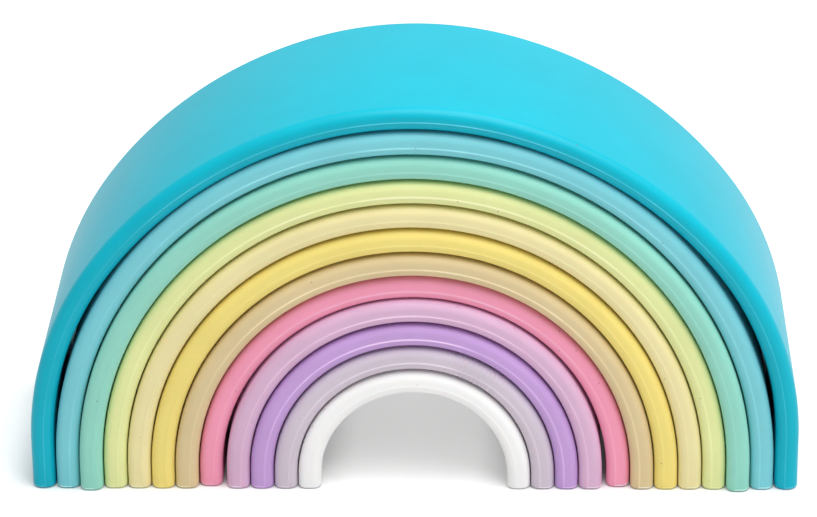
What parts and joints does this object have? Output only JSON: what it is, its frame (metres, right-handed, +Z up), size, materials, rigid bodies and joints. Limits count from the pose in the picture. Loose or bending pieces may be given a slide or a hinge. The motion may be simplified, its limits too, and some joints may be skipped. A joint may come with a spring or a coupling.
{
  "type": "rainbow stacker",
  "caption": "Nest of half-round soft silicone arches in pastel colours, each smaller than the last, that slide apart to stack, balance and build with.",
  "frame": {"origin": "on the floor, under the middle of the nest", "axes": "+X across the nest from the left foot to the right foot, +Y from the front to the back along the tunnel, +Z up"},
  "size_m": [0.268, 0.0876, 0.1436],
  "materials": {
    "turquoise_silicone": "satin",
    "sky_blue_silicone": "satin",
    "mint_silicone": "satin",
    "lime_silicone": "satin",
    "cream_silicone": "satin",
    "yellow_silicone": "satin",
    "sand_silicone": "satin",
    "rose_silicone": "satin",
    "orchid_silicone": "satin",
    "lavender_silicone": "satin",
    "lilac_grey_silicone": "satin",
    "white_silicone": "satin"
  },
  "bodies": {
    "turquoise": {"turquoise_arch": "turquoise_silicone"},
    "sky_blue": {"sky_blue_arch": "sky_blue_silicone"},
    "mint": {"mint_arch": "mint_silicone"},
    "lime": {"lime_arch": "lime_silicone"},
    "cream": {"cream_arch": "cream_silicone"},
    "yellow": {"yellow_arch": "yellow_silicone"},
    "sand": {"sand_arch": "sand_silicone"},
    "rose": {"rose_arch": "rose_silicone"},
    "orchid": {"orchid_arch": "orchid_silicone"},
    "lavender": {"lavender_arch": "lavender_silicone"},
    "lilac_grey": {"lilac_grey_arch": "lilac_grey_silicone"},
    "white": {"white_arch": "white_silicone"}
  },
  "joints": [
    {"name": "sky_blue_slide", "type": "slide", "parent": "turquoise", "child": "sky_blue", "axis": [0, 1, 0], "range_m": [-0.1, 0.1]},
    {"name": "mint_slide", "type": "slide", "parent": "turquoise", "child": "mint", "axis": [0, 1, 0], "range_m": [-0.1, 0.1]},
    {"name": "lime_slide", "type": "slide", "parent": "turquoise", "child": "lime", "axis": [0, 1, 0], "range_m": [-0.1, 0.1]},
    {"name": "cream_slide", "type": "slide", "parent": "turquoise", "child": "cream", "axis": [0, 1, 0], "range_m": [-0.1, 0.1]},
    {"name": "yellow_slide", "type": "slide", "parent": "turquoise", "child": "yellow", "axis": [0, 1, 0], "range_m": [-0.1, 0.1]},
    {"name": "sand_slide", "type": "slide", "parent": "turquoise", "child": "sand", "axis": [0, 1, 0], "range_m": [-0.1, 0.1]},
    {"name": "rose_slide", "type": "slide", "parent": "turquoise", "child": "rose", "axis": [0, 1, 0], "range_m": [-0.1, 0.1]},
    {"name": "orchid_slide", "type": "slide", "parent": "turquoise", "child": "orchid", "axis": [0, 1, 0], "range_m": [-0.1, 0.1]},
    {"name": "lavender_slide", "type": "slide", "parent": "turquoise", "child": "lavender", "axis": [0, 1, 0], "range_m": [-0.1, 0.1]},
    {"name": "lilac_grey_slide", "type": "slide", "parent": "turquoise", "child": "lilac_grey", "axis": [0, 1, 0], "range_m": [-0.1, 0.1]},
    {"name": "white_slide", "type": "slide", "parent": "turquoise", "child": "white", "axis": [0, 1, 0], "range_m": [-0.1, 0.1]}
  ]
}
